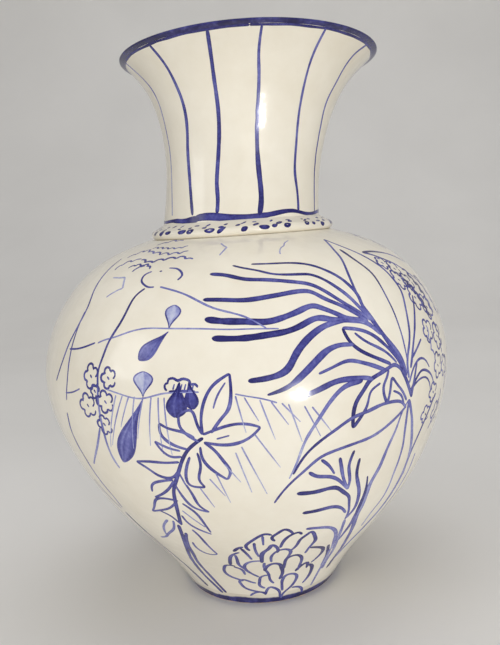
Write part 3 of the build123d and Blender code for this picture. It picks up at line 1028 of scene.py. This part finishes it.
def scallops(brush, route, count, swell, width, tones):
    """A line of uneven rounded scallops along a route."""
    line = Curve(path(route))
    ends = np.linspace(0, line.length, count + 1)
    points = []
    for start, end in zip(ends, ends[1:]):
        size = swell * brush.random.uniform(0.7, 1.3)
        for share in (0, 0.25, 0.5, 0.75):
            here = line(start + share * (end - start))
            ahead = line(start + share * (end - start) + 0.5) - here
            ahead = ahead / np.hypot(ahead[0] * MM_PER_DEGREE, ahead[1])
            bulge = size * math.sin(math.pi * share) ** 0.6 if share else 0
            points.append(here + bulge * np.array([-ahead[1] / MM_PER_DEGREE, ahead[0] * MM_PER_DEGREE]))
    brush.stroke(points, (width, 1.2 * width, width), tones)


def left_blossoms(brush):
    for head in LEFT_HEADS:
        blossom(brush, *head)


def cascade(brush):
    for head in CASCADE_HEADS:
        blossom(brush, *head)
    for row in CASCADE_LINES:
        scallops(brush, *row)


def clouds(brush):
    for row in CLOUD_LINES:
        scallops(brush, *row)


def hatching(brush):
    """Fine slanting lines below the horizon, in fans."""
    for first, last, top, last_top, slant, drop, count in FANS:
        for share in np.linspace(0, 1, count):
            share = share + brush.random.uniform(-0.3, 0.3) / count
            az, high = first + share * (last - first), top + share * (last_top - top)
            spread = 1 - share if slant < 0 else 0.5 + share / 2
            lean = slant * brush.random.uniform(0.6, 1.1) * spread
            low = high - drop * brush.random.uniform(0.4, 1.2)
            brush.stroke([(az, high), (az + lean, low)], (1, 0.9, 0.5), (0.4, 0.3, 0.16))


def neck_stripes(brush):
    brush.strokes(NECK_STRIPES)
    for number, az in enumerate(range(92, 270, 25)):
        drift = brush.random.uniform(-2.5, 2.5, 6)
        heights = (397.6, 375, 352, 328, 306, 286)
        points = [(az + wander, height) for wander, height in zip(drift.cumsum() / 2.5, heights)]
        brush.stroke(points, (1.9, 2.3, 2.9), (0.65, 0.7, 0.85))


NECK_LINE = (
    "-34,285.6 -28,286.4 -20,286.2 -8,284.6 5,284 20,285.2 38,286.6 50,284.4 70,285 90,286 115,284.6 "
    "140,285.6 165,284.6 190,285.8 215,285 240,284.4 265,285.6 290,284.8 305,285.2 316,284.6 330,285.6"
)
NECK_LINE_WIDTHS = (5, 5, 4.4, 3, 2.2, 2.6, 2, 2.2, 2, 2.4, 2, 2.4, 2, 2.4, 2.2, 2, 3, 5)


def neck_line(brush):
    """The loose line where the neck stands on the collar, laid in one turn."""
    brush.stroke(NECK_LINE, NECK_LINE_WIDTHS, (0.9, 0.95, 0.8, 0.9, 0.85, 0.95))


def lip_line(brush):
    """The cobalt of the lip runs down a little way onto the neck, with a loose lower edge."""
    azimuths = np.arange(0, 366, 6)
    heights = MOUTH - 0.6 + 0.12 * brush.random.uniform(-1, 1, len(azimuths))
    brush.stroke(np.stack([azimuths, heights], -1), (1.2, 1.3, 1.2), (0.95, 0.85, 0.95))


COLLAR_ROWS = [
    # distance up the section, how many, length, width, slant
    (6.6, 36, 7, 4, 0.45),
    (10.2, 32, 6, 2.4, 0.5),
    (13, 36, 4.8, 1.6, 0.6),
]


def collar_dots(brush):
    """Rows of dabs round the collar, fat ovals on the bead and thinner dashes on the slope above."""
    for along, count, length, width, slant in COLLAR_ROWS:
        for number in range(count):
            az = (number + brush.random.uniform(-0.3, 0.3)) * 360 / count
            lean = slant * brush.random.uniform(-0.2, 1.6)
            half = length * brush.random.uniform(0.55, 1.15) / 2
            height = along + brush.random.uniform(-0.8, 0.8)
            run_along = half * math.cos(lean) / (COLLAR_RADIUS * math.radians(1))
            climb = half * math.sin(lean)
            points = [(az - run_along, height - climb), (az + run_along, height + climb)]
            size = width * brush.random.uniform(0.75, 1.25)
            brush.stroke(points, (size, size), (0.95, 0.8, 0.95))


for side in ("front", "back"):
    painted("palm_fronds", side, on_body, 1, PALM_FRONDS)
    painted("palm_leaves", side, on_body, 2, PALM_LEAVES, BENT_LEAVES, BIG_LEAF)
    painted("stems", side, on_body, 4, LONG_STEMS, SPRIG)
    painted("chrysanthemum", side, on_body, 5, CHRYSANTHEMUM)
    painted("right_blossoms", side, on_body, 10, cascade, CASCADE_STEM)
    painted("far_lines", side, on_body, 11, FAR_LEFT_LINES)
for side in SIDES:
    painted("branch", side, on_body, 6, BRANCH_STEMS, BRANCH_LEAVES)
    painted("buds", side, on_body, 7, buds, seed_pod)
    painted("horizon", side, on_body, 8, HORIZON, hatching)
    painted("left_blossoms", side, on_body, 9, LEFT_BLOSSOM_STEMS, left_blossoms)
    painted("clouds", side, on_body, 12, CLOUD_CURLS, clouds)
painted("neck_stripes", "front", on_neck, 13, neck_stripes)
painted("neck_lines", "front", on_neck, 14, neck_line, lip_line)
painted("collar_dots", "front", on_collar, 15, collar_dots)


# ------------------------------------------------------------------------------------------ stage

def add_floor():
    """A pale sweep: floor, a wide bend and a wall behind, in one smooth sheet."""
    half_width, front, bend_start, bend, top = 9.0, -9.0, 1.2, 1.4, 3.4
    angles = np.linspace(0, math.pi / 2, 24)
    rows = [(front, 0.0)]
    rows += [(bend_start + bend * math.sin(angle), bend * (1 - math.cos(angle))) for angle in angles]
    rows += [(bend_start + bend, top)]
    vertices = [(side * half_width, y, z) for y, z in rows for side in (-1, 1)]
    faces = [(2 * i, 2 * i + 1, 2 * i + 3, 2 * i + 2) for i in range(len(rows) - 1)]
    mesh = bpy.data.meshes.new("floor")
    mesh.from_pydata(vertices, [], faces)
    mesh.shade_smooth()
    mesh.materials.append(studio_floor())
    floor = bpy.data.objects.new("floor", mesh)
    bpy.context.collection.objects.link(floor)


def add_softbox(name, place, aim, size, watts, glossy=True, diffuse=True):
    lamp = bpy.data.lights.new(name, "AREA")
    lamp.shape = "RECTANGLE"
    lamp.size, lamp.size_y = size
    lamp.energy = watts
    made = bpy.data.objects.new(name, lamp)
    bpy.context.collection.objects.link(made)
    made.location = place
    to_aim = Vector(aim) - Vector(place)
    made.rotation_euler = to_aim.to_track_quat("-Z", "Y").to_euler()
    made.visible_camera = False
    made.visible_glossy = glossy
    made.visible_diffuse = diffuse


def add_world():
    """A plain backdrop that brightens from the horizon up."""
    world = bpy.data.worlds.new("studio")
    world.use_nodes = True
    tree = world.node_tree
    direction = tree.nodes.new("ShaderNodeTexCoord").outputs["Generated"]
    split = tree.nodes.new("ShaderNodeSeparateXYZ")
    tree.links.new(direction, split.inputs[0])
    ramp = tree.nodes.new("ShaderNodeValToRGB")
    ramp.color_ramp.elements[0].position = 0.0
    ramp.color_ramp.elements[0].color = colour(132, 131, 130)
    ramp.color_ramp.elements[1].position = 0.5
    ramp.color_ramp.elements[1].color = colour(176, 176, 178)
    tree.links.new(split.outputs["Z"], ramp.inputs["Fac"])
    tree.links.new(ramp.outputs["Color"], tree.nodes["Background"].inputs["Color"])
    tree.nodes["Background"].inputs["Strength"].default_value = 0.8
    bpy.context.scene.world = world


def add_camera():
    """Looks slightly down from just below the mouth, rolled a little to the right."""
    place = (0, -0.56215, 0.28085)
    yaw, pitch, roll = 0.00567, -0.13785, -0.0691
    lens = bpy.data.cameras.new("camera")
    lens.sensor_width = 36.0
    lens.lens = 40.33
    camera = bpy.data.objects.new("camera", lens)
    bpy.context.collection.objects.link(camera)
    ahead = Vector((
        math.sin(yaw) * math.cos(pitch), math.cos(yaw) * math.cos(pitch), math.sin(pitch)
    ))
    level = Vector((math.cos(yaw), -math.sin(yaw), 0))
    above = level.cross(ahead)
    right = math.cos(roll) * level + math.sin(roll) * above
    up = right.cross(ahead)
    turned_to = Matrix((right, up, -ahead)).transposed()
    camera.matrix_world = Matrix.Translation(place) @ turned_to.to_4x4()
    bpy.context.scene.camera = camera


add_floor()
add_world()
belly = (0, 0, 0.17)
add_softbox("key_light", (0.55, -2.6, 0.6), belly, (1.0, 1.0), 36, glossy=False)
add_softbox("fill_light", (-1.6, -0.7, 0.8), belly, (0.7, 0.9), 4)
add_softbox("top_light", (0.3, 0.3, 2.4), (0.3, 1.2, 0), (2.0, 2.0), 20, glossy=False)
add_softbox("small_card", (0.22, -0.54, 0.13), (0.03, -0.147, 0.19), (0.035, 0.035), 1.6, diffuse=False)
add_camera()
bpy.context.scene.view_settings.view_transform = "Standard"
